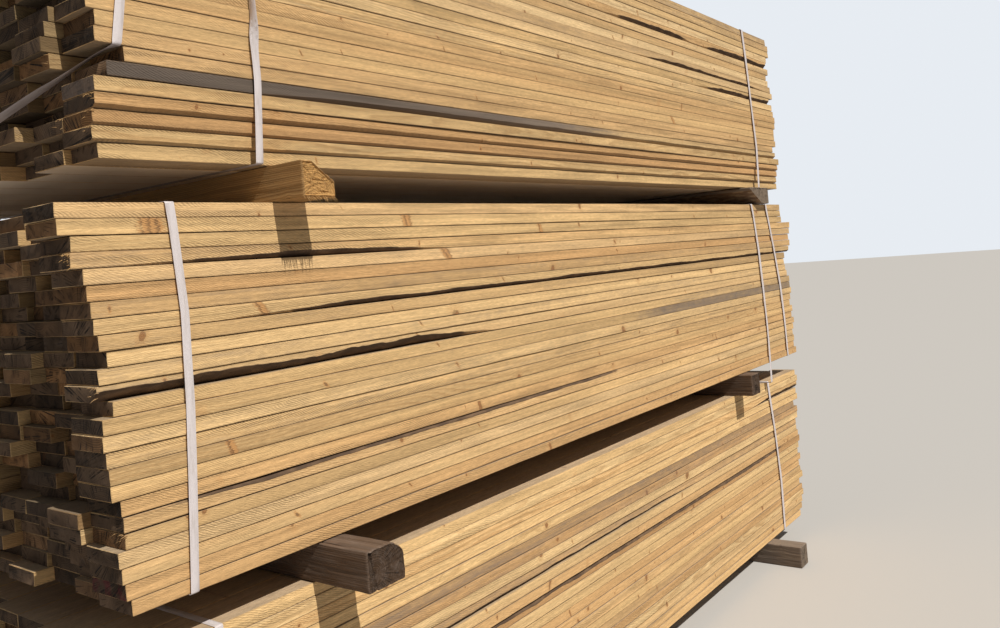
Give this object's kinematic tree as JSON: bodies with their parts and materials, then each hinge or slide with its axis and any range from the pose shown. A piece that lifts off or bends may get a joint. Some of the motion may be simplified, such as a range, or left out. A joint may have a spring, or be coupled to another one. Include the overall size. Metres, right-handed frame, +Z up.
{
  "type": "stack of lumber",
  "caption": "Three strapped packages of sawn pine boards, one on top of the other on square timber bearers.",
  "frame": {"origin": "on the floor, under the middle of the stack", "axes": "+X along the boards, away from the end that is nearest in the picture; -Y out of the long side that the picture shows; +Z up"},
  "size_m": [3.1363, 1.258, 2.1001],
  "materials": {
    "pine_boards": "rough sawn",
    "fresh_timber": "rough sawn",
    "old_timber": "weathered",
    "strap": "satin"
  },
  "bodies": {
    "root": {"ground_bearer_far": "old_timber", "ground_bearer_near": "old_timber", "low_package_rows_01_and_02": "pine_boards", "low_package_rows_03_and_04": "pine_boards", "low_package_rows_05_and_06": "pine_boards", "low_package_rows_07_and_08": "pine_boards", "low_package_rows_09_and_10": "pine_boards", "low_package_rows_11_and_12": "pine_boards", "low_package_rows_13_and_14": "pine_boards", "low_package_rows_15_and_16": "pine_boards", "low_package_rows_17_and_18": "pine_boards", "low_package_rows_19_and_20": "pine_boards", "low_package_rows_21_and_22": "pine_boards", "low_package_rows_23_and_24": "pine_boards", "low_package_strap_far": "strap", "low_package_strap_near": "strap", "lower_bearer_far": "old_timber", "lower_bearer_near": "old_timber", "middle_package_row_25": "pine_boards", "middle_package_rows_01_and_02": "pine_boards", "middle_package_rows_03_and_04": "pine_boards", "middle_package_rows_05_and_06": "pine_boards", "middle_package_rows_07_and_08": "pine_boards", "middle_package_rows_09_and_10": "pine_boards", "middle_package_rows_11_and_12": "pine_boards", "middle_package_rows_13_and_14": "pine_boards", "middle_package_rows_15_and_16": "pine_boards", "middle_package_rows_17_and_18": "pine_boards", "middle_package_rows_19_and_20": "pine_boards", "middle_package_rows_21_and_22": "pine_boards", "middle_package_rows_23_and_24": "pine_boards", "middle_package_strap_far_end": "strap", "middle_package_strap_far_slack": "strap", "middle_package_strap_near": "strap", "top_package_row_25": "pine_boards", "top_package_rows_01_and_02": "pine_boards", "top_package_rows_03_and_04": "pine_boards", "top_package_rows_05_and_06": "pine_boards", "top_package_rows_07_and_08": "pine_boards", "top_package_rows_09_and_10": "pine_boards", "top_package_rows_11_and_12": "pine_boards", "top_package_rows_13_and_14": "pine_boards", "top_package_rows_15_and_16": "pine_boards", "top_package_rows_17_and_18": "pine_boards", "top_package_rows_19_and_20": "pine_boards", "top_package_rows_21_and_22": "pine_boards", "top_package_rows_23_and_24": "pine_boards", "top_package_strap_far": "strap", "top_package_strap_near": "strap", "top_package_strap_slipped": "strap", "upper_bearer_far": "old_timber", "upper_bearer_near": "fresh_timber"}
  },
  "joints": []
}
